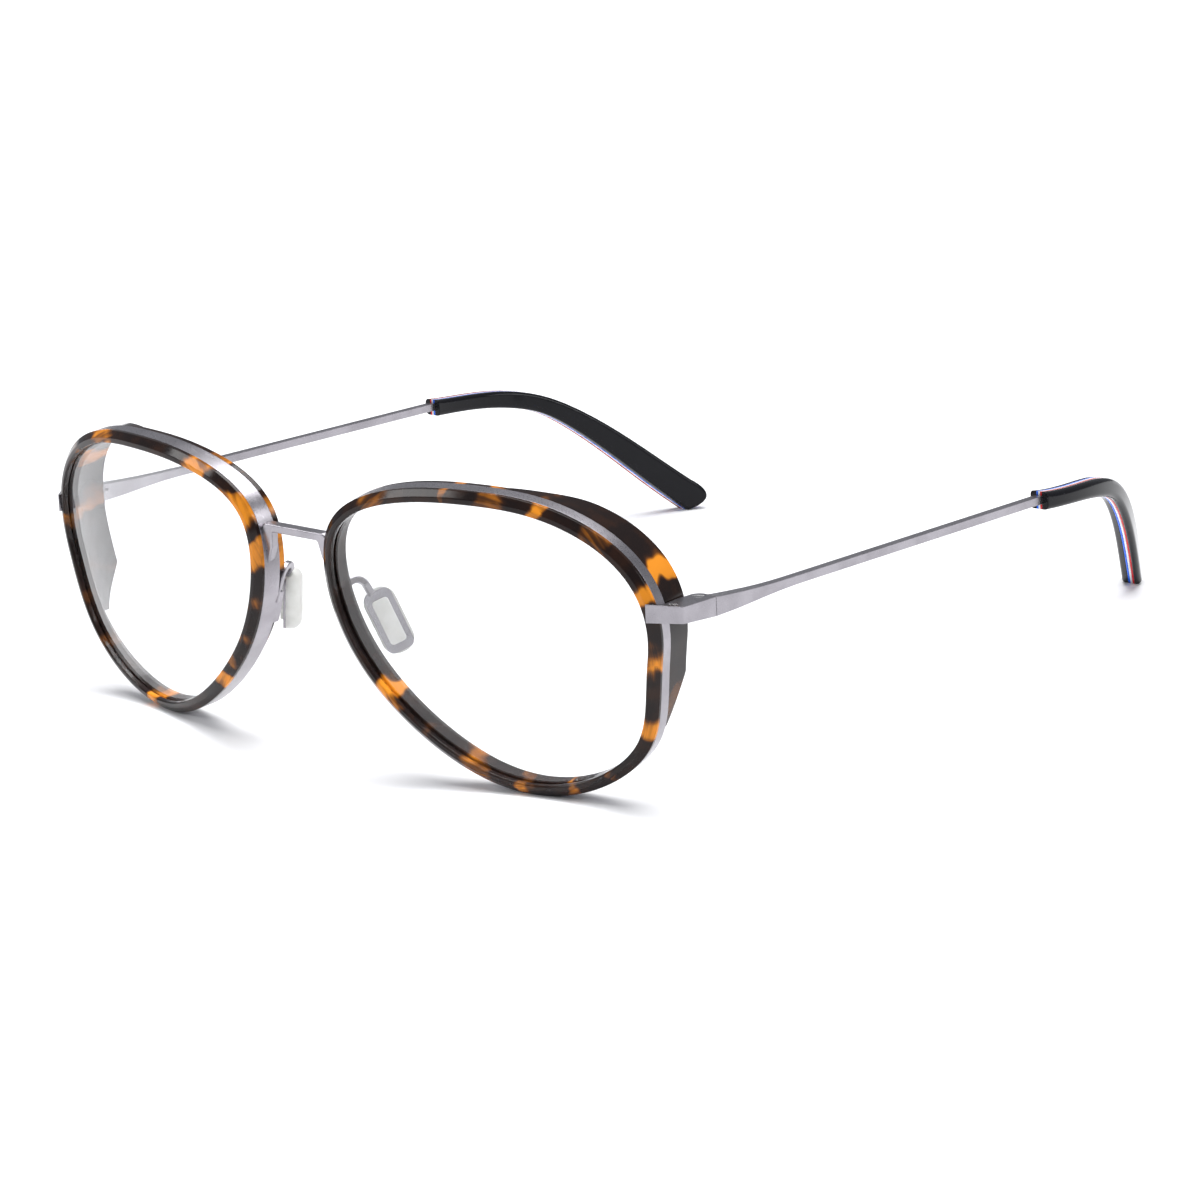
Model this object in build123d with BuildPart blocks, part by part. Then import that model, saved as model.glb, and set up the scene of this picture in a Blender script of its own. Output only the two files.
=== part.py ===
"""Full-rim spectacles: acetate rims in metal eyewires, side shields, and folding laminated-tip temples.

+X is the wearer's left, the front faces -Y, +Z is up. The spectacles stand open on Z = 0, on the
bottoms of both rims and the ends of both temple tips. Each left piece is modelled once and mirrored.
"""
import os
from math import cos, hypot, radians, sin

from build123d import *

# Millimetres and degrees throughout.

# Where the front stands
FRONT_Y = -72.35
RIM_CENTRE_X = 36.0
RIM_CENTRE_Z = 22.955
WRAP = 9.7
LEAN = 5.7
BASE_RADIUS = 127.0

# Front inner edge of a rim: radii from the rim's centre, 30 degrees apart, from the temple side up
RIM_RADII = (27.5, 27.7, 23.8, 21.95, 24.5, 29.55, 24.9, 20.3, 19.05, 20.8, 24.0, 27.3)

# Section of a rim: how far each part of it grows outside that edge
RIM_FACE = 1.9
BAND_THICKNESS = 0.5
SEAT_FACE = RIM_FACE - BAND_THICKNESS
REAR_FACE = 0.9
BEVEL_FACE = 1.0
BEVEL_DEPTH = 0.6
LENS_SEAT = 0.5
EDGE_ROUNDING = 0.25
REAR_LIP_START = 75
REAR_LIP_END = 169
REAR_LIP_FACE = 1.85

# Curved levels through a rim: depth behind its front at the rim's centre, and a shift of the curve's
# centre up and outwards, which makes the level deeper towards the nose and the cheek
SHIFT_ANGLE = 35
LENS_FRONT_LEVEL = (0.9, 0)
LENS_REAR_LEVEL = (2.6, 0)
FRONT_LEVEL = (0, 0)
BEVEL_LEVEL = (BEVEL_DEPTH, 0)
LIP_LEVEL = (1.1, 0)
BAND_LEVEL = (3.45, 2.2)
PLATE_LEVEL = (4.45, 2.2)
REAR_LIP_LEVEL = (4.25, 2.6)
REAR_LEVEL = (4.4, 5.0)
SHIELD_LEVEL = (8.45, 0)
FAR_FRONT_LEVEL = (-3, 0)
FAR_REAR_LEVEL = (14, 0)

# Side shield: a wall behind the rim, from below the temple round to the top
SHIELD_OUTER = 1.5
SHIELD_INNER = 0.4
SHIELD_START = -25
SHIELD_END = 80

# Bridge bar
BRIDGE_TOP = 14.1
BRIDGE_BOTTOM = 12.75
BRIDGE_FRONT = 0.4
BRIDGE_DEPTH = 1.35

# Nose pad arm: its bent strip lies in a slanted plane, given by x where it passes the rim's centre,
# and by x gained per millimetre backwards and lost per millimetre upwards
STRIP_X = 7.73
STRIP_BACK_SLOPE = 0.405
STRIP_UP_SLOPE = 0.3115
STRIP_THICKNESS = 0.9
STRIP_WIDTH = 1.1
PLATE_START = 176
PLATE_END = 187.5
PAD_CENTRE = (11.6, 7.2, -0.45)
PAD_AXIS = (-0.32, -0.2, 0.926)
PAD_NORMAL = (0.75, -0.65, 0.12)
PAD_SHEET = 0.4
PAD_RING_LENGTH = 9.9
PAD_RING_WIDTH = 4.3
PAD_WINDOW_LENGTH = 7.2
PAD_WINDOW_WIDTH = 2.6
PAD_LENGTH = 10.6
PAD_WIDTH = 5.0
PAD_DOME = 2.4
PAD_PLUG = 0.9

# Endpiece and hinge, on a plane that falls backwards with the temple
TEMPLE_FALL = 1.7
HINGE_HEIGHT = 7.53
END_HALF_HEIGHT = 1.45
END_OUTER_X = 67.4
END_BEND_Y = 10.7
END_BEND_RADIUS = 0.75
END_BEND_BOTTOM = -1.05
END_FRONT_Y = 6.0
END_FRONT_TOP = 2.25
END_FRONT_BOTTOM = -0.55
SEAM_Y = 17.85
SEAM_GAP = 0.1
HINGE_X = 64.95
HINGE_Y = 16.85
FORK_SHIFT_X = -0.7
FORK_SHIFT_Y = 1.0
FORK_WIDTH = 4.6
FORK_LENGTH = 3.8
KNUCKLE_RADIUS = 1.5
KNUCKLE_CLEARANCE = 0.15
KNUCKLE_HALF_HEIGHT = 0.5
WASHER_THICKNESS = 0.1
WASHER_RADIUS = 1.3
HINGE_SCREW_RADIUS = 0.5
HINGE_SCREW_HEAD_RADIUS = 0.95
HINGE_HOLE_RADIUS = 0.54
HINGE_SCREW_LENGTH = 2.8
SCREW_HEAD_HEIGHT = 0.35
SCREW_SLOT = 0.25

# Screw that closes the eyewire round the rim
LOCK_X = 65.1
LOCK_Y = 11.1
LOCK_RADIUS = 0.95
LOCK_CLEARANCE = 0.05
LOCK_GAP = 0.1
LOCK_BLOCK_HEIGHT = 0.95
LOCK_SCREW_RADIUS = 0.4
LOCK_SCREW_HEAD_RADIUS = 0.7
LOCK_SCREW_LENGTH = 2.4

# Temple arm and laminated tip
ARM_THICKNESS = 1.4
ARM_HALF_HEIGHT = 0.65
TIP_START_Y = 96.8
CORE_END_Y = 104.0
TIP_CUT_ROOM = 5.0
TIP_LAYERS = (
    ("tip_outer_black", 1.7, 0.5),
    ("tip_red", 0.5, 0.15),
    ("tip_white", 0.15, -0.2),
    ("tip_blue", -0.2, -0.55),
    ("tip_inner_black", -0.55, -1.7),
)

# Frames of reference
WRAP_COS, WRAP_SIN = cos(radians(WRAP)), sin(radians(WRAP))
LEAN_COS, LEAN_SIN = cos(radians(LEAN)), sin(radians(LEAN))
LENS_FRONT_DIR = Vector(WRAP_SIN, -WRAP_COS * LEAN_COS, -WRAP_COS * LEAN_SIN)
LENS_PLANE = Plane(
    origin=(RIM_CENTRE_X, FRONT_Y, RIM_CENTRE_Z),
    x_dir=(WRAP_COS, WRAP_SIN * LEAN_COS, WRAP_SIN * LEAN_SIN),
    z_dir=LENS_FRONT_DIR,
)
CURVE_CENTRE = LENS_PLANE.origin - LENS_FRONT_DIR * BASE_RADIUS
SHIFT_DIR = LENS_PLANE.x_dir * cos(radians(SHIFT_ANGLE)) + LENS_PLANE.y_dir * sin(radians(SHIFT_ANGLE))
FRONT_PLANE = Plane(origin=(0, FRONT_Y, RIM_CENTRE_Z), x_dir=(1, 0, 0), z_dir=(0, -LEAN_COS, -LEAN_SIN))
SIDE_PLANE = Plane(origin=(0, FRONT_Y, RIM_CENTRE_Z), x_dir=(0, 1, 0), z_dir=(1, 0, 0))
FALL_COS, FALL_SIN = cos(radians(TEMPLE_FALL)), sin(radians(TEMPLE_FALL))
HINGE_PLANE = Plane(
    origin=(0, FRONT_Y, RIM_CENTRE_Z + HINGE_HEIGHT),
    x_dir=(1, 0, 0),
    z_dir=(0, FALL_SIN, FALL_COS),
)
ARM_SIDE_PLANE = Plane(origin=HINGE_PLANE.origin, x_dir=HINGE_PLANE.y_dir, z_dir=(1, 0, 0))


def rim_outline(growth):
    """Points of the rim's outline, moved outwards from the front inner edge by growth."""
    count = len(RIM_RADII)
    points = []
    for index, radius in enumerate(RIM_RADII):
        angle = radians(360 / count * index)
        points.append((radius * cos(angle), radius * sin(angle)))
    grown = []
    for index, (u, v) in enumerate(points):
        before = points[index - 1]
        after = points[(index + 1) % count]
        du, dv = after[0] - before[0], after[1] - before[1]
        chord = hypot(du, dv)
        grown.append((u + growth * dv / chord, v - growth * du / chord))
    return grown


def level_ball(level):
    """Centre and radius of the ball whose surface is one curved level."""
    depth, shift = level
    return CURVE_CENTRE + SHIFT_DIR * shift, BASE_RADIUS - depth


def curved_layer(outer, inner, front, back):
    """Part of the rim between two outlines and between two curved levels."""
    front_centre, front_radius = level_ball(front)
    back_centre, back_radius = level_ball(back)
    with BuildPart() as layer:
        with BuildSketch(LENS_PLANE):
            with BuildLine():
                Spline(*rim_outline(outer), periodic=True)
            make_face()
            if inner is not None:
                with BuildLine():
                    Spline(*rim_outline(inner), periodic=True)
                make_face(mode=Mode.SUBTRACT)
        extrude(amount=15, both=True)
        with Locations(front_centre):
            Sphere(front_radius, mode=Mode.INTERSECT)
        with Locations(back_centre):
            Sphere(back_radius, mode=Mode.SUBTRACT)
    return layer.part


def sector(start, end):
    """Wedge round the rim's centre, from one angle to another, through the rim's whole depth."""
    reach = 60
    angles = [start, (start + end) / 2, end]
    with BuildPart() as wedge:
        with BuildSketch(LENS_PLANE):
            with BuildLine():
                Polyline(
                    (0, 0),
                    *[(reach * cos(radians(a)), reach * sin(radians(a))) for a in angles],
                    close=True,
                )
            make_face()
        extrude(amount=20, both=True)
    return wedge.part


def sphere_faces(part):
    """Curved faces of a layer, from its rear to its front."""
    faces = part.faces().filter_by(GeomType.SPHERE)
    return faces.sort_by(lambda face: (face.center() - CURVE_CENTRE).length)


def write(name, part):
    """Label one piece and write its STEP file."""
    part.label = name
    export_step(part, f"parts/{name}.step")


def write_pair(name, part):
    """Write the left piece, and its mirror image as the right one."""
    write(f"left_{name}", part)
    write(f"right_{name}", mirror(part, about=Plane.YZ))


os.makedirs("parts", exist_ok=True)

# Lens
lens = curved_layer(LENS_SEAT, None, LENS_FRONT_LEVEL, LENS_REAR_LEVEL)
write_pair("lens", lens)

# Acetate rim: bevelled front lip, seat for the metal band, rear wall, and a rear lip along the top
front_lip = curved_layer(RIM_FACE, 0, FRONT_LEVEL, LIP_LEVEL)
lip_front = sphere_faces(front_lip)[-1]
front_lip = front_lip.chamfer(BEVEL_FACE, BEVEL_DEPTH, lip_front.outer_wire().edges(), lip_front)
lip_front = sphere_faces(front_lip)[-1]
front_lip = front_lip.fillet(EDGE_ROUNDING, lip_front.edges())
rim_seat = curved_layer(SEAT_FACE, 0, LIP_LEVEL, BAND_LEVEL)
rear_wall = curved_layer(REAR_FACE, 0, BAND_LEVEL, REAR_LEVEL)
rear_lip = curved_layer(REAR_LIP_FACE, REAR_FACE - 0.1, BAND_LEVEL, REAR_LIP_LEVEL)
rear_lip_sector = sector(REAR_LIP_START, REAR_LIP_END)
with BuildPart() as top_lip:
    add(rear_lip)
    add(rear_lip_sector, mode=Mode.INTERSECT)
with BuildPart() as acetate_rim:
    add(front_lip)
    add(rim_seat)
    add(rear_wall)
    add(top_lip.part)
    add(lens, mode=Mode.SUBTRACT)
write_pair("acetate_rim", acetate_rim.part)

# Eyewire: a thin band round the rim, split beside the temple where the lock screw draws it together
band = curved_layer(RIM_FACE, SEAT_FACE, LIP_LEVEL, BAND_LEVEL)
with BuildPart() as eyewire:
    add(band)
    with BuildSketch(HINGE_PLANE):
        with Locations((LOCK_X - 1, LOCK_Y - 1)):
            Rectangle(3, 8)
    extrude(amount=LOCK_GAP / 2, both=True, mode=Mode.SUBTRACT)
write_pair("eyewire", eyewire.part)


# Side shield
def ramp(angle, radius, points):
    """Space behind a curve drawn along the shield's wall at one angle, to shape the wall's end."""
    outward = (LENS_PLANE.x_dir * cos(radians(angle)) + LENS_PLANE.y_dir * sin(radians(angle))).normalized()
    along = outward.cross(LENS_FRONT_DIR).normalized()
    plane = Plane(origin=LENS_PLANE.origin + outward * radius, x_dir=along, z_dir=outward)
    reach = 40
    with BuildPart() as space:
        with BuildSketch(plane):
            with BuildLine():
                Spline(*points)
                Polyline(points[-1], (points[-1][0], reach), (points[0][0], reach), points[0])
            make_face()
        extrude(amount=12, both=True)
    return space.part


shield_wall = curved_layer(SHIELD_OUTER, SHIELD_INNER, REAR_LEVEL, SHIELD_LEVEL)
shield_sector = sector(SHIELD_START, SHIELD_END)
UPPER_RAMP = [(-12, 5), (-6.3, 7.2), (-1.4, 8.4), (1.8, 9.6), (4.5, 10.5), (7.5, 11.1), (15, 12), (22, 12.5)]
LOWER_RAMP = [(-7, 13.6), (-4.3, 12.9), (-2.3, 12.1), (-0.2, 10.9), (3, 9), (6, 7.7), (12, 6)]
upper_ramp = ramp(62, 26, UPPER_RAMP)
lower_ramp = ramp(-14, 29, LOWER_RAMP)
with BuildPart() as side_shield:
    add(shield_wall)
    add(shield_sector, mode=Mode.INTERSECT)
    add(upper_ramp, mode=Mode.SUBTRACT)
    add(lower_ramp, mode=Mode.SUBTRACT)
write_pair("side_shield", side_shield.part)

# Bridge: a flat bar whose ends turn down as legs along the bands they are soldered to
rim_disc = curved_layer(RIM_FACE, None, FAR_FRONT_LEVEL, FAR_REAR_LEVEL)
rim_disc_right = mirror(rim_disc, about=Plane.YZ)
with BuildPart() as bridge:
    with BuildSketch(FRONT_PLANE.offset(-BRIDGE_FRONT)) as bridge_face:
        with BuildLine():
            half = Polyline(
                (0, BRIDGE_TOP),
                (7.0, BRIDGE_TOP),
                (7.0, 12.6),
                (8.6, 12.0),
                (8.6, 7.6),
                (6.5, 7.8),
                (5.4, 10.2),
                (4.9, BRIDGE_BOTTOM),
                (0, BRIDGE_BOTTOM),
            )
            mirror(half, about=Plane.YZ)
        make_face()
        top_corners = bridge_face.vertices().group_by(Axis.Y)[-1]
        fillet(top_corners, radius=1.0)
        inner_corners = [v for v in bridge_face.vertices() if hypot(abs(v.X) - 4.9, v.Y - BRIDGE_BOTTOM) < 0.1]
        fillet(inner_corners, radius=0.5)
    extrude(amount=-BRIDGE_DEPTH)
    front_face = bridge.faces().sort_by(Axis(FRONT_PLANE.origin, FRONT_PLANE.z_dir))[-1]
    fillet(front_face.edges(), radius=0.3)
    add(rim_disc, mode=Mode.SUBTRACT)
    add(rim_disc_right, mode=Mode.SUBTRACT)
write("bridge", bridge.part)

# Nose pad arm: a plate behind the band, a hooked strip, and a ring that holds the pad
PAD_PLANE = Plane(
    origin=Vector(0, FRONT_Y, RIM_CENTRE_Z) + Vector(PAD_CENTRE),
    x_dir=Vector(PAD_AXIS).cross(Vector(PAD_NORMAL)),
    z_dir=PAD_NORMAL,
)
STRIP_NORMAL = Vector(1, -STRIP_BACK_SLOPE, STRIP_UP_SLOPE)


def strip_point(y, z):
    """Point of the pad arm's strip, from its distance behind and above the rim's centre."""
    return Vector(STRIP_X + STRIP_BACK_SLOPE * y - STRIP_UP_SLOPE * z, FRONT_Y + y, RIM_CENTRE_Z + z)


pad_plate = curved_layer(RIM_FACE, SEAT_FACE, BAND_LEVEL, PLATE_LEVEL)
plate_sector = sector(PLATE_START, PLATE_END)
strip_foot = strip_point(2.3, 0.6)
strip_bend = strip_point(2.8, 4.4)
strip_crest = strip_point(5.9, 5.0)
strip_end = PAD_PLANE.origin + PAD_PLANE.y_dir * (PAD_RING_LENGTH / 2 - 0.5) - PAD_PLANE.x_dir * 0.6
strip_rise = strip_bend - strip_foot
with BuildPart() as plate:
    add(pad_plate)
    add(plate_sector, mode=Mode.INTERSECT)
with BuildPart() as pad_arm:
    with BuildLine():
        Line(strip_foot, strip_bend)
        TangentArc(strip_bend, strip_crest, tangent=strip_rise)
        Line(strip_crest, strip_end)
    with BuildSketch(Plane(origin=strip_foot, x_dir=STRIP_NORMAL, z_dir=strip_rise)):
        RectangleRounded(STRIP_THICKNESS, STRIP_WIDTH, 0.2)
    sweep(transition=Transition.ROUND)
    with BuildSketch(PAD_PLANE):
        RectangleRounded(PAD_RING_WIDTH, PAD_RING_LENGTH, 1.1)
    extrude(amount=PAD_SHEET / 2, both=True)
    add(plate.part)
    with BuildSketch(PAD_PLANE):
        RectangleRounded(PAD_WINDOW_WIDTH, PAD_WINDOW_LENGTH, 0.6)
    extrude(amount=STRIP_THICKNESS, both=True, mode=Mode.SUBTRACT)
    add(eyewire.part, mode=Mode.SUBTRACT)
    add(acetate_rim.part, mode=Mode.SUBTRACT)
write_pair("pad_arm", pad_arm.part)

# Silicone pad: a domed cushion on the nose side of the ring, with a plug through its window
with BuildPart() as nose_pad:
    with BuildSketch(PAD_PLANE.offset(-PAD_SHEET / 2)):
        RectangleRounded(PAD_WIDTH, PAD_LENGTH, 2.3)
    extrude(amount=-PAD_DOME)
    dome_edges = nose_pad.faces().sort_by(Axis(PAD_PLANE.origin, PAD_PLANE.z_dir))[0].edges()
    fillet(dome_edges, radius=1.7)
    with BuildSketch(PAD_PLANE.offset(-PAD_SHEET / 2)):
        RectangleRounded(PAD_WINDOW_WIDTH, PAD_WINDOW_LENGTH, 0.6)
    extrude(amount=PAD_PLUG)
    add(pad_arm.part, mode=Mode.SUBTRACT)
write_pair("nose_pad", nose_pad.part)

# Endpiece: a block soldered to the band, with a front plate over the rim's bevel and a hinge fork
KNUCKLE_GAP = KNUCKLE_HALF_HEIGHT + WASHER_THICKNESS
KNUCKLE_ROOM = KNUCKLE_RADIUS + KNUCKLE_CLEARANCE
end_disc = curved_layer(RIM_FACE, None, BEVEL_LEVEL, FAR_REAR_LEVEL)
TOP_FACE_PLANE = HINGE_PLANE.offset(END_HALF_HEIGHT)
with BuildPart() as end_side:
    with BuildSketch(ARM_SIDE_PLANE):
        with BuildLine():
            Polyline(
                (SEAM_Y + KNUCKLE_RADIUS, END_HALF_HEIGHT),
                (END_BEND_Y, END_HALF_HEIGHT),
                (END_FRONT_Y, END_FRONT_TOP),
                (END_FRONT_Y, END_FRONT_BOTTOM),
                (END_BEND_Y, END_BEND_BOTTOM),
                (SEAM_Y, -END_HALF_HEIGHT),
                (SEAM_Y + KNUCKLE_RADIUS, -END_HALF_HEIGHT),
                close=True,
            )
        make_face()
    extrude(amount=80)
with BuildPart() as endpiece:
    with BuildSketch(HINGE_PLANE) as end_plan:
        with BuildLine():
            Polyline(
                (63.5, 6.9),
                (END_OUTER_X, END_BEND_Y),
                (END_OUTER_X, SEAM_Y),
                (HINGE_X, SEAM_Y),
                (HINGE_X - KNUCKLE_RADIUS, HINGE_Y),
                (HINGE_X - KNUCKLE_RADIUS, 13.0),
                (61.0, 12.0),
                (63.1, 8.6),
                close=True,
            )
        make_face()
        outer_corners = end_plan.vertices().sort_by(Axis.X)[-2:]
        fillet(outer_corners.sort_by(Axis.Y)[0], radius=END_BEND_RADIUS)
        with Locations((HINGE_X, HINGE_Y)):
            Circle(KNUCKLE_RADIUS)
    extrude(amount=3, both=True)
    add(end_side.part, mode=Mode.INTERSECT)
    add(end_disc, mode=Mode.SUBTRACT)
    add(acetate_rim.part, mode=Mode.SUBTRACT)
    # fork: room for the temple's knuckle, and for its tongue to swing inwards
    with BuildSketch(HINGE_PLANE):
        with Locations((HINGE_X, HINGE_Y)):
            Circle(KNUCKLE_ROOM)
        with Locations((HINGE_X + FORK_SHIFT_X, HINGE_Y + FORK_SHIFT_Y)):
            Rectangle(FORK_WIDTH, FORK_LENGTH)
    extrude(amount=KNUCKLE_GAP, both=True, mode=Mode.SUBTRACT)
    # hinge screw: clear hole and head seat above, tight hole below
    with BuildSketch(HINGE_PLANE):
        with Locations((HINGE_X, HINGE_Y)):
            Circle(HINGE_HOLE_RADIUS)
    extrude(amount=3, mode=Mode.SUBTRACT)
    with BuildSketch(HINGE_PLANE):
        with Locations((HINGE_X, HINGE_Y)):
            Circle(HINGE_SCREW_RADIUS)
    extrude(amount=-3, mode=Mode.SUBTRACT)
    with BuildSketch(TOP_FACE_PLANE):
        with Locations((HINGE_X, HINGE_Y)):
            Circle(HINGE_SCREW_HEAD_RADIUS)
        with Locations((LOCK_X, LOCK_Y)):
            Circle(LOCK_SCREW_HEAD_RADIUS)
    extrude(amount=-SCREW_HEAD_HEIGHT, mode=Mode.SUBTRACT)
    # lock: a screw hole in the roof and a pocket for the block underneath
    with BuildSketch(HINGE_PLANE):
        with Locations((LOCK_X, LOCK_Y)):
            Circle(LOCK_SCREW_RADIUS)
    extrude(amount=3, mode=Mode.SUBTRACT)
    with BuildSketch(HINGE_PLANE):
        with Locations((LOCK_X, LOCK_Y)):
            Circle(LOCK_RADIUS + LOCK_CLEARANCE)
        with Locations((LOCK_X - 1, LOCK_Y)):
            Rectangle(2, 2 * (LOCK_RADIUS + LOCK_CLEARANCE))
    extrude(amount=-3, mode=Mode.SUBTRACT)
write_pair("endpiece", endpiece.part)

with BuildPart() as lock_block:
    with BuildSketch(HINGE_PLANE.offset(-LOCK_GAP / 2)):
        with Locations((LOCK_X, LOCK_Y)):
            Circle(LOCK_RADIUS)
        with Locations((LOCK_X - 1, LOCK_Y)):
            Rectangle(2, 2 * LOCK_RADIUS)
        with Locations((LOCK_X, LOCK_Y)):
            Circle(LOCK_SCREW_RADIUS, mode=Mode.SUBTRACT)
    extrude(amount=-LOCK_BLOCK_HEIGHT)
    add(end_disc, mode=Mode.SUBTRACT)
write_pair("lock_block", lock_block.part)


def slotted_screw(x, y, radius, head_radius, length):
    """Slotted screw whose head lies flush with the endpiece's top face."""
    with BuildPart() as screw:
        with BuildSketch(TOP_FACE_PLANE):
            with Locations((x, y)):
                Circle(head_radius)
        extrude(amount=-SCREW_HEAD_HEIGHT)
        with BuildSketch(TOP_FACE_PLANE):
            with Locations((x, y)):
                Circle(radius)
        extrude(amount=-length)
        with BuildSketch(TOP_FACE_PLANE):
            with Locations(Location((x, y), 35)):
                Rectangle(2 * head_radius + 1, SCREW_SLOT)
        extrude(amount=-SCREW_HEAD_HEIGHT / 2, mode=Mode.SUBTRACT)
    return screw.part


lock_screw = slotted_screw(LOCK_X, LOCK_Y, LOCK_SCREW_RADIUS, LOCK_SCREW_HEAD_RADIUS, LOCK_SCREW_LENGTH)
hinge_screw = slotted_screw(HINGE_X, HINGE_Y, HINGE_SCREW_RADIUS, HINGE_SCREW_HEAD_RADIUS, HINGE_SCREW_LENGTH)
write_pair("lock_screw", lock_screw)
write_pair("hinge_screw", hinge_screw)

with BuildPart() as hinge_washers:
    for plane, thickness in (
        (HINGE_PLANE.offset(KNUCKLE_HALF_HEIGHT), WASHER_THICKNESS),
        (HINGE_PLANE.offset(-KNUCKLE_HALF_HEIGHT), -WASHER_THICKNESS),
    ):
        with BuildSketch(plane):
            with Locations((HINGE_X, HINGE_Y)):
                Circle(WASHER_RADIUS)
                Circle(HINGE_HOLE_RADIUS, mode=Mode.SUBTRACT)
        extrude(amount=thickness)
write_pair("hinge_washers", hinge_washers.part)

# Temple arm: the side view and the top view cut the same bar, then the hinge tongue is added
ARM_START_Y = SEAM_Y + SEAM_GAP
ARM_OUTER_X = END_OUTER_X - 0.1
ARM_INNER_X = ARM_OUTER_X - ARM_THICKNESS
ARM_TOP = ((ARM_START_Y, 1.45), (22, 1.1), (28.7, 0.75), (38, ARM_HALF_HEIGHT))
ARM_BOTTOM = ((38, -ARM_HALF_HEIGHT), (28.7, -0.95), (22.5, -1.32), (ARM_START_Y, -1.45))
ARM_ROOT_X = 65.3
TONGUE_INNER_X = HINGE_X - 0.75
TONGUE_OUTER_X = HINGE_X + 1.45
TONGUE_END_Y = HINGE_Y + 3
with BuildPart() as temple_arm:
    with BuildSketch(ARM_SIDE_PLANE):
        with BuildLine():
            Spline(*ARM_TOP, tangents=[(1, -0.12), (1, 0)])
            Polyline(ARM_TOP[-1], (CORE_END_Y, ARM_HALF_HEIGHT), (CORE_END_Y, -ARM_HALF_HEIGHT), ARM_BOTTOM[0])
            Spline(*ARM_BOTTOM, tangents=[(-1, 0), (-1, -0.02)])
            Line(ARM_BOTTOM[-1], ARM_TOP[0])
        make_face()
    extrude(amount=80)
    with BuildSketch(HINGE_PLANE):
        with BuildLine():
            Polyline(
                (END_OUTER_X, ARM_START_Y),
                (ARM_OUTER_X, 34),
                (ARM_OUTER_X, CORE_END_Y),
                (ARM_INNER_X, CORE_END_Y),
                (ARM_INNER_X, 34),
            )
            Spline((ARM_INNER_X, 34), (65.5, 23), (ARM_ROOT_X, ARM_START_Y), tangents=[(0, -1), (0, -1)])
            Line((ARM_ROOT_X, ARM_START_Y), (END_OUTER_X, ARM_START_Y))
        make_face()
    extrude(amount=5, both=True, mode=Mode.INTERSECT)
    with BuildSketch(HINGE_PLANE):
        with Locations((HINGE_X, HINGE_Y)):
            Circle(KNUCKLE_ROOM)
    extrude(amount=3, both=True, mode=Mode.SUBTRACT)
    with BuildSketch(HINGE_PLANE):
        with Locations((HINGE_X, HINGE_Y)):
            Circle(KNUCKLE_RADIUS)
        with BuildLine():
            Polyline(
                (TONGUE_INNER_X, HINGE_Y),
                (TONGUE_OUTER_X, HINGE_Y),
                (TONGUE_OUTER_X, TONGUE_END_Y),
                (ARM_ROOT_X, TONGUE_END_Y),
                (TONGUE_INNER_X, TONGUE_END_Y - 1),
                close=True,
            )
        make_face()
        with Locations((HINGE_X, HINGE_Y)):
            Circle(HINGE_HOLE_RADIUS, mode=Mode.SUBTRACT)
    extrude(amount=KNUCKLE_HALF_HEIGHT, both=True)
write_pair("temple_arm", temple_arm.part)

# Temple tip: five bent layers, cut to one outline in the side view
TIP_CENTRE = ((66.6, TIP_START_Y), (66.0, 109), (62.9, 120.5), (57.5, 131.9), (47.5, 148.4))
TIP_NORMALS = ((1, 0), (0.99, 0.13), (0.93, 0.37), (0.86, 0.51), (0.85, 0.52))
TIP_TOP = ((96.8, 5.95), (108.8, 4.8), (115.3, 3.8), (121.4, 1.7), (127.4, -1.9), (133.4, -6.7), (144.6, -17.3))
TIP_END = (147.0, -21.0)
TIP_BOTTOM = (
    (143.8, -22.955),
    (135.9, -15.0),
    (130.6, -9.5),
    (125.2, -4.6),
    (119.8, -0.95),
    (114.3, 0.9),
    (108.6, 1.95),
    (96.8, 3.05),
)

# Layers with rounded edges: which broad face, the innermost 0 or the outermost -1, and the radius
ROUNDED_TIP_FACES = {"tip_outer_black": (-1, 0.8), "tip_inner_black": (0, 0.6)}


def tip_line(offset):
    """Top view of one face of a tip layer, at an offset outwards from the middle of the tip."""
    return [(x + offset * nx, y + offset * ny) for (x, y), (nx, ny) in zip(TIP_CENTRE, TIP_NORMALS)]


with BuildPart() as tip_blank:
    with BuildSketch(SIDE_PLANE):
        with BuildLine():
            Spline(*TIP_TOP)
            Spline(TIP_TOP[-1], TIP_END, TIP_BOTTOM[0])
            Spline(*TIP_BOTTOM)
            Line(TIP_BOTTOM[-1], TIP_TOP[0])
        make_face()
    extrude(amount=80, dir=(1, 0, 0))

for name, outer, inner in TIP_LAYERS:
    outer_line = tip_line(outer)
    inner_line = tip_line(inner)
    with BuildPart() as layer:
        with BuildSketch(Plane.XY.move(Location((0, FRONT_Y, -TIP_CUT_ROOM)))):
            with BuildLine():
                Spline(*outer_line)
                Line(outer_line[-1], inner_line[-1])
                Spline(*reversed(inner_line))
                Line(inner_line[0], outer_line[0])
            make_face()
        extrude(amount=RIM_CENTRE_Z + 3 * TIP_CUT_ROOM)
        add(tip_blank.part, mode=Mode.INTERSECT)
        broad_faces = layer.faces().sort_by(SortBy.AREA)[-2:].sort_by(Axis.X)
        if name in ROUNDED_TIP_FACES:
            face_index, rounding = ROUNDED_TIP_FACES[name]
            round_edges = broad_faces[face_index].edges().sort_by(Axis.Y)[1:]
            fillet(round_edges, radius=rounding)
        add(temple_arm.part, mode=Mode.SUBTRACT)
    write_pair(name, layer.part)
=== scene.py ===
"""Looks for the spectacles: materials, floor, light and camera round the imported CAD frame."""
import math

import bpy
from mathutils import Matrix, Vector

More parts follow.
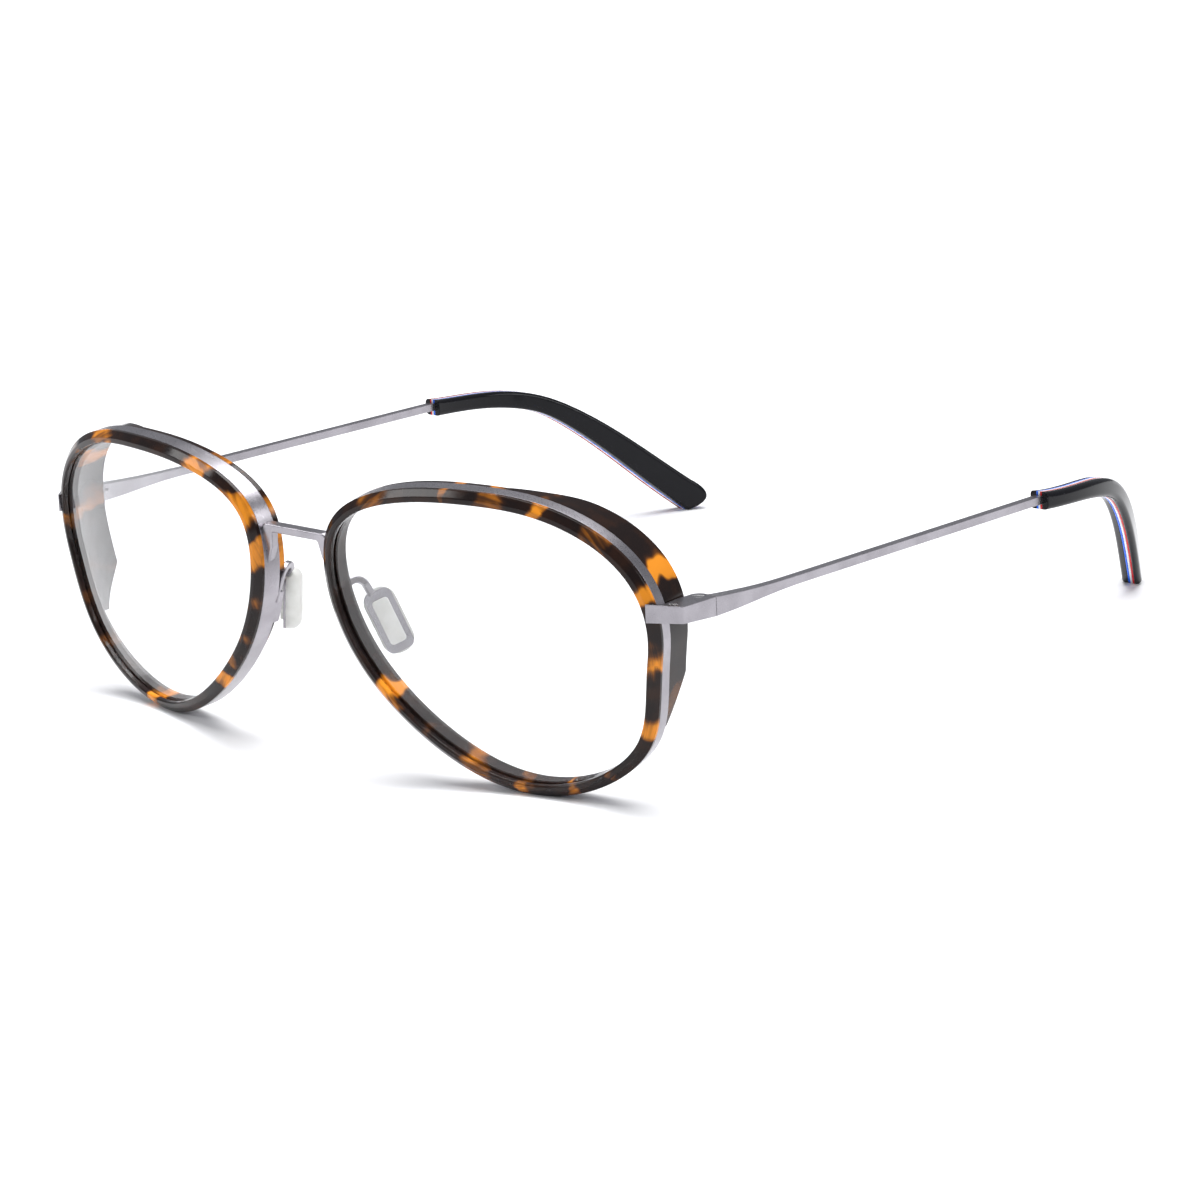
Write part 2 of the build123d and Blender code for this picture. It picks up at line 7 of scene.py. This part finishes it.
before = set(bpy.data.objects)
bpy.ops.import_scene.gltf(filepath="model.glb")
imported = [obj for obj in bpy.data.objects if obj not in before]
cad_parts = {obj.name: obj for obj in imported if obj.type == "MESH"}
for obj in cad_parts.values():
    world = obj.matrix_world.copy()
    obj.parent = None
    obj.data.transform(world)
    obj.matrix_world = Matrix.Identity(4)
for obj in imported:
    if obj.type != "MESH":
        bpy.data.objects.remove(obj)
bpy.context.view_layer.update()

# Metres and watts, in the CAD's frame: +X is the wearer's left, the front faces -Y, +Z is up.
# The left rim's centre, its turn and lean, and the directions across it, out of its front and up it
RIM_CENTRE = Vector((0.036, -0.07235, 0.022955))
BETWEEN_RIMS = Vector((0.0, RIM_CENTRE.y, RIM_CENTRE.z))
WRAP = math.radians(9.7)
LEAN = math.radians(5.7)
RIM_ACROSS = Vector((math.cos(WRAP), math.sin(WRAP) * math.cos(LEAN), math.sin(WRAP) * math.sin(LEAN)))
RIM_FRONT = Vector((math.sin(WRAP), -math.cos(WRAP) * math.cos(LEAN), -math.cos(WRAP) * math.sin(LEAN)))
RIM_UP = RIM_FRONT.cross(RIM_ACROSS)
SIDES = {"left": 1, "right": -1}

# Camera: where it stands and the point it is aimed at, both from the point between the rims
CAMERA_FROM = Vector((0.4529, -0.4204, 0.1731))
CAMERA_TO = Vector((0.0329, 0.0305, -0.0002))
CAMERA_ROLL = math.radians(-3.5)
CAMERA_LENS_MM = 126.7
CAMERA_SENSOR_MM = 36.0
CAMERA_CLIP_START = 0.01

# Room light, and square soft lamps: name, place, point aimed at, width, power
ROOM_COLOUR = (0.90, 0.93, 1.0, 1.0)
ROOM_STRENGTH = 0.30
LAMPS = (
    ("overhead", (-0.1, 0.3, 2.0), (0, 0.1, 0), 1.8, 64),
    ("front_left", (-0.9, -0.9, 0.7), (0, 0, 0), 0.5, 5),
    ("right_rear", (1.0, 0.5, 0.6), (0, 0, 0), 0.4, 3),
)

# Half the floor's width
FLOOR_HALF = 4.0

# Nearly all of a noise node's output lies in this range
NOISE_LOW = 0.3
NOISE_HIGH = 0.7

# Amber patches, in degrees: angle from the rim's temple side up over the top, half-width, strength
RIM_PATCHES = {
    "left": (
        (1, 8, 0.95),
        (20, 8, 1.0),
        (40, 7, 0.7),
        (62, 4, 0.9),
        (79, 7, 0.6),
        (101, 4, 0.8),
        (131, 8, 0.5),
        (152, 5, 0.4),
        (207, 8, 1.0),
        (232, 4, 0.35),
        (254, 9, 0.75),
        (278, 7, 0.85),
        (297, 4, 0.7),
        (316, 6, 0.5),
        (341, 6, 0.9),
    ),
    "right": (
        (8, 6, 0.7),
        (40, 6, 0.6),
        (67, 9, 0.8),
        (129, 9, 1.0),
        (146, 7, 0.95),
        (163, 7, 1.0),
        (181, 4, 0.5),
        (196, 4, 0.5),
        (207, 4, 0.5),
        (222, 6, 0.85),
        (255, 4, 0.35),
        (287, 7, 0.95),
        (326, 8, 0.7),
        (345, 5, 0.4),
    ),
}
SHIELD_PATCHES = {
    "left": ((-18, 6, 0.6), (-8, 4, 0.4), (23, 7, 1.0), (66, 5, 0.35)),
    "right": ((-12, 6, 0.5), (12, 5, 0.7), (34, 7, 0.9), (60, 6, 0.5)),
}

# A patch is full up to PATCH_TOP half-widths from its middle, and ends at PATCH_FOOT half-widths. The
# patches' curve takes the height of its first point at both ends, if that is SEAM_REACH turns in or less
PATCH_TOP = 0.2
PATCH_FOOT = 1.2
SEAM_REACH = 0.01

# How far the patches' edges wander, in turns of the rim, and how much the clouds, the grain along the
# rim and the streaks add to a patch's strength
EDGE_WANDER = 0.012
CLOUD_STRENGTH = 0.16
GRAIN_STRENGTH = 0.20
STREAK_STRENGTH = 0.30
FULL_AMBER = 1.15

# Grain: cells in one turn of the rim, and cells in a metre outwards
GRAIN_ROUND = 16.0
GRAIN_OUTWARDS = 1100.0

# Colours of tortoise acetate from dark to amber: place in the blend, red, green, blue
TORTOISE_COLOURS = (
    (0.0, 0.0110, 0.0065, 0.0060),
    (0.30, 0.026, 0.011, 0.0065),
    (0.55, 0.095, 0.033, 0.0080),
    (0.80, 0.32, 0.105, 0.0100),
    (1.0, 0.78, 0.27, 0.0200),
)


def shade(colour, factor):
    """Colour made darker or lighter, with no part of it above 1."""
    return tuple(min(1.0, factor * part) for part in colour)


class Nodes:
    """Builds one material's node tree, a node a line."""

    def __init__(self, name):
        self.material = bpy.data.materials.new(name)
        self.material.use_nodes = True
        self.tree = self.material.node_tree
        self.shader = self.tree.nodes["Principled BSDF"]
        self.place = self.add("ShaderNodeTexCoord").outputs["Object"]

    def add(self, kind, inputs=None, **settings):
        """Adds a node, sets its properties, and fills its inputs with values or links."""
        node = self.tree.nodes.new(kind)
        for key, value in settings.items():
            setattr(node, key, value)
        for key, value in (inputs or {}).items():
            self.fill(node.inputs[key], value)
        return node

    def fill(self, socket, value):
        """Links a socket to an output, or sets its value."""
        if isinstance(value, bpy.types.NodeSocket):
            self.tree.links.new(value, socket)
        else:
            socket.default_value = value

    def look(self, **inputs):
        """Fills the surface shader's inputs, named with underscores for spaces."""
        for key, value in inputs.items():
            self.fill(self.shader.inputs[key.replace("_", " ")], value)

    def noise(self, scale, detail=3.0, place=None):
        """Noise from 0 to 1, with features about 1 / scale metres across."""
        inputs = {"Vector": place or self.place, "Scale": scale, "Detail": detail}
        return self.add("ShaderNodeTexNoise", inputs).outputs["Fac"]

    def math(self, operation, first, second=0.0):
        """Result of a sum on one or two values."""
        return self.add("ShaderNodeMath", {0: first, 1: second}, operation=operation).outputs[0]

    def between(self, value, low, high, start=0.0, end=1.0):
        """Carries a value from low..high smoothly to start..end."""
        inputs = {"Value": value, "From Min": low, "From Max": high, "To Min": start, "To Max": end}
        return self.add("ShaderNodeMapRange", inputs, interpolation_type="SMOOTHSTEP").outputs["Result"]

    def spread(self, noise, start=0.0, end=1.0):
        """Carries noise to the whole of start..end."""
        return self.between(noise, NOISE_LOW, NOISE_HIGH, start, end)

    def along(self, direction, origin):
        """Distance of the surface point from an origin, along a direction."""
        moved = self.add("ShaderNodeVectorMath", {0: self.place, 1: origin}, operation="SUBTRACT")
        inputs = {0: moved.outputs[0], 1: direction}
        return self.add("ShaderNodeVectorMath", inputs, operation="DOT_PRODUCT").outputs["Value"]

    def colours(self, value, stops):
        """Colour for a value from 0 to 1, blended between stops of (place, red, green, blue)."""
        ramp = self.add("ShaderNodeValToRGB", {"Fac": value})
        elements = ramp.color_ramp.elements
        while len(elements) < len(stops):
            elements.new(1.0)
        for element, (at, red, green, blue) in zip(elements, stops):
            element.position = at
            element.color = (red, green, blue, 1.0)
        return ramp.outputs["Color"]

    def bump(self, height, depth, edge):
        """Normal of a surface with worn edges of a radius, whose height varies over a depth, in metres."""
        worn = self.add("ShaderNodeBevel", {"Radius": edge}, samples=6).outputs["Normal"]
        inputs = {"Height": height, "Distance": depth, "Normal": worn}
        return self.add("ShaderNodeBump", inputs).outputs["Normal"]


def patch_curve(nodes, value, patches):
    """Strength of the amber patches at an angle given in turns."""
    profile = ((-PATCH_FOOT, 0.0), (-PATCH_TOP, 1.0), (PATCH_TOP, 1.0), (PATCH_FOOT, 0.0))
    heights = {}
    for angle, half_width, strength in patches:
        for offset, height in profile:
            at = ((angle + offset * half_width) % 360) / 360
            heights[at] = max(height * strength, heights.get(at, 0.0))
    curve = nodes.add("ShaderNodeFloatCurve", {"Value": value})
    points = curve.mapping.curves[0].points
    first = min(heights)
    seam = heights[first] if first < SEAM_REACH else 0.0
    points[0].location = (0.0, seam)
    points[1].location = (1.0, seam)
    for at in sorted(heights):
        point = points.new(at, heights[at])
        point.handle_type = "AUTO_CLAMPED"
    curve.mapping.update()
    return curve.outputs["Value"]


def tortoise(name, side, patches):
    """Polished tortoiseshell acetate with amber patches round one rim's centre."""
    nodes = Nodes(name)
    mirror = Vector((SIDES[side], 1, 1))
    centre = RIM_CENTRE * mirror
    across = nodes.along(RIM_ACROSS * mirror, centre)
    up = nodes.along(RIM_UP * mirror, centre)
    turns = nodes.math("DIVIDE", nodes.math("ARCTAN2", up, across), 2 * math.pi)
    wander = nodes.spread(nodes.noise(scale=140, detail=2.0), -EDGE_WANDER, EDGE_WANDER)
    turns = nodes.math("FRACT", nodes.math("ADD", nodes.math("ADD", turns, wander), 1.0))
    patch = patch_curve(nodes, turns, patches)
    cloud = nodes.spread(nodes.noise(scale=170, detail=2.0), -CLOUD_STRENGTH, CLOUD_STRENGTH)
    squares = nodes.math("ADD", nodes.math("POWER", across, 2.0), nodes.math("POWER", up, 2.0))
    out = nodes.math("SQRT", squares)
    along_rim = {
        "X": nodes.math("MULTIPLY", turns, GRAIN_ROUND),
        "Y": nodes.math("MULTIPLY", out, GRAIN_OUTWARDS),
    }
    grain_place = nodes.add("ShaderNodeCombineXYZ", along_rim).outputs[0]
    grain = nodes.spread(nodes.noise(scale=1.0, place=grain_place), -GRAIN_STRENGTH, GRAIN_STRENGTH)
    amber = nodes.between(nodes.math("ADD", nodes.math("ADD", patch, cloud), grain), 0.0, FULL_AMBER)
    streaks = nodes.between(nodes.noise(scale=260), 0.42, 0.75, 0.0, STREAK_STRENGTH)
    amber = nodes.math("MAXIMUM", amber, streaks)
    nodes.look(
        Base_Color=nodes.colours(amber, TORTOISE_COLOURS),
        Roughness=nodes.spread(nodes.noise(scale=2600, detail=4.0), 0.07, 0.13),
        Normal=nodes.bump(nodes.noise(scale=120, detail=2.0), depth=0.00002, edge=0.0002),
        Specular_IOR_Level=0.24,
        IOR=1.49,
    )
    return nodes.material


def satin_metal(name, colour, roughness):
    """Fine blasted metal: an even grain, slightly mottled, with worn edges."""
    nodes = Nodes(name)
    grain = nodes.noise(scale=9000, detail=2.0)
    mottle = nodes.spread(nodes.noise(scale=220))
    nodes.look(
        Base_Color=nodes.colours(mottle, ((0.0, *shade(colour, 0.9)), (1.0, *shade(colour, 1.1)))),
        Roughness=nodes.spread(grain, roughness - 0.05, roughness + 0.06),
        Normal=nodes.bump(grain, depth=0.000012, edge=0.00014),
        Metallic=1.0,
    )
    return nodes.material


def polished(name, colour, roughness=0.06):
    """Polished solid-colour acetate with a faint orange peel and fine scuffs."""
    nodes = Nodes(name)
    cloud = nodes.spread(nodes.noise(scale=260))
    scuffs = nodes.noise(scale=3000, detail=4.0)
    nodes.look(
        Base_Color=nodes.colours(cloud, ((0.0, *shade(colour, 0.85)), (1.0, *colour))),
        Roughness=nodes.spread(scuffs, roughness, roughness + 0.06),
        Normal=nodes.bump(nodes.noise(scale=150, detail=2.0), depth=0.00002, edge=0.0003),
        Specular_IOR_Level=0.16,
        IOR=1.47,
    )
    return nodes.material


def clear_lens(name):
    """Clear coated lens: it mirrors a little and lets light pass, with faint wiping marks."""
    nodes = Nodes(name)
    nodes.look(
        Base_Color=(0.985, 0.992, 1.0, 1.0),
        Roughness=nodes.between(nodes.noise(scale=140), NOISE_LOW, 0.8, 0.0, 0.012),
        IOR=1.5,
        Transmission_Weight=1.0,
    )
    clear = nodes.add("ShaderNodeBsdfTransparent", {"Color": (0.96, 0.97, 0.98, 1.0)})
    shadow = nodes.add("ShaderNodeLightPath").outputs["Is Shadow Ray"]
    mixed = nodes.add("ShaderNodeMixShader", {0: shadow, 1: nodes.shader.outputs[0], 2: clear.outputs[0]})
    nodes.fill(nodes.tree.nodes["Material Output"].inputs["Surface"], mixed.outputs[0])
    return nodes.material


def silicone(name):
    """Soft milky silicone, dull on the outside and lit from within."""
    nodes = Nodes(name)
    cloud = nodes.spread(nodes.noise(scale=500))
    nodes.look(
        Base_Color=nodes.colours(cloud, ((0.0, 0.80, 0.80, 0.76), (1.0, 0.90, 0.90, 0.87))),
        Roughness=nodes.spread(nodes.noise(scale=4000), 0.28, 0.40),
        Normal=nodes.bump(nodes.noise(scale=1200), depth=0.00001, edge=0.0002),
        IOR=1.41,
        Transmission_Weight=0.35,
        Subsurface_Weight=0.6,
        Subsurface_Scale=0.001,
        Subsurface_Radius=(1.0, 1.0, 1.0),
    )
    return nodes.material


def nylon(name):
    """Plain moulded nylon."""
    nodes = Nodes(name)
    grain = nodes.noise(scale=5000)
    nodes.look(
        Base_Color=nodes.colours(grain, ((NOISE_LOW, 0.55, 0.55, 0.52), (NOISE_HIGH, 0.66, 0.66, 0.62))),
        Roughness=nodes.spread(grain, 0.4, 0.55),
    )
    return nodes.material


def pale_floor(name):
    """Matt white floor, very faintly clouded."""
    nodes = Nodes(name)
    cloud = nodes.noise(scale=6, detail=2.0)
    nodes.look(
        Base_Color=nodes.colours(cloud, ((NOISE_LOW, 0.90, 0.90, 0.91), (NOISE_HIGH, 0.93, 0.93, 0.94))),
        Roughness=0.7,
        Specular_IOR_Level=0.15,
    )
    return nodes.material


def dress(node, material):
    """Gives a CAD node its material."""
    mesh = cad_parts[node].data
    mesh.materials.clear()
    mesh.materials.append(material)


def soft_lamp(name, place, target, size, power):
    """Square area lamp aimed at a point."""
    lamp = bpy.data.lights.new(name, "AREA")
    lamp.shape = "SQUARE"
    lamp.size = size
    lamp.energy = power
    holder = bpy.data.objects.new(name, lamp)
    holder.location = place
    holder.rotation_euler = (Vector(target) - Vector(place)).to_track_quat("-Z", "Y").to_euler()
    bpy.context.collection.objects.link(holder)


# Materials on the CAD nodes
metal = satin_metal("satin_metal", (0.33, 0.315, 0.34), roughness=0.30)
steel = satin_metal("screw_steel", (0.46, 0.45, 0.46), roughness=0.24)
black = polished("black_acetate", (0.008, 0.008, 0.010), roughness=0.05)
MATERIALS = {
    "lens": clear_lens("clear_lens"),
    "eyewire": metal,
    "pad_arm": metal,
    "endpiece": metal,
    "lock_block": metal,
    "temple_arm": metal,
    "lock_screw": steel,
    "hinge_screw": steel,
    "hinge_washers": nylon("nylon"),
    "nose_pad": silicone("silicone"),
    "tip_outer_black": black,
    "tip_inner_black": black,
    "tip_red": polished("red_acetate", (0.62, 0.012, 0.018)),
    "tip_white": polished("white_acetate", (0.86, 0.86, 0.86)),
    "tip_blue": polished("blue_acetate", (0.0, 0.14, 0.86)),
}
dress("bridge", metal)
for side in SIDES:
    for piece, material in MATERIALS.items():
        dress(f"{side}_{piece}", material)
    dress(f"{side}_acetate_rim", tortoise(f"tortoise_{side}", side, RIM_PATCHES[side]))
    dress(f"{side}_side_shield", tortoise(f"tortoise_shield_{side}", side, SHIELD_PATCHES[side]))

# Floor
floor_mesh = bpy.data.meshes.new("floor")
corners = [(x * FLOOR_HALF, y * FLOOR_HALF, 0.0) for x, y in ((-1, -1), (1, -1), (1, 1), (-1, 1))]
floor_mesh.from_pydata(corners, [], [(0, 1, 2, 3)])
floor_mesh.materials.append(pale_floor("pale_floor"))
floor = bpy.data.objects.new("floor", floor_mesh)
bpy.context.collection.objects.link(floor)

# Light: a pale room and three soft lamps
world = bpy.data.worlds.new("room")
world.use_nodes = True
room = world.node_tree.nodes["Background"].inputs
room["Color"].default_value = ROOM_COLOUR
room["Strength"].default_value = ROOM_STRENGTH
bpy.context.scene.world = world
for lamp_settings in LAMPS:
    soft_lamp(*lamp_settings)

# Camera
camera_data = bpy.data.cameras.new("camera")
camera_data.sensor_width = CAMERA_SENSOR_MM
camera_data.lens = CAMERA_LENS_MM
camera_data.clip_start = CAMERA_CLIP_START
camera = bpy.data.objects.new("camera", camera_data)
bpy.context.collection.objects.link(camera)
aim = (CAMERA_TO - CAMERA_FROM).to_track_quat("-Z", "Y").to_matrix().to_4x4()
roll = Matrix.Rotation(CAMERA_ROLL, 4, "Z")
camera.matrix_world = Matrix.Translation(BETWEEN_RIMS + CAMERA_FROM) @ aim @ roll
bpy.context.scene.camera = camera
bpy.context.scene.view_settings.view_transform = "Standard"
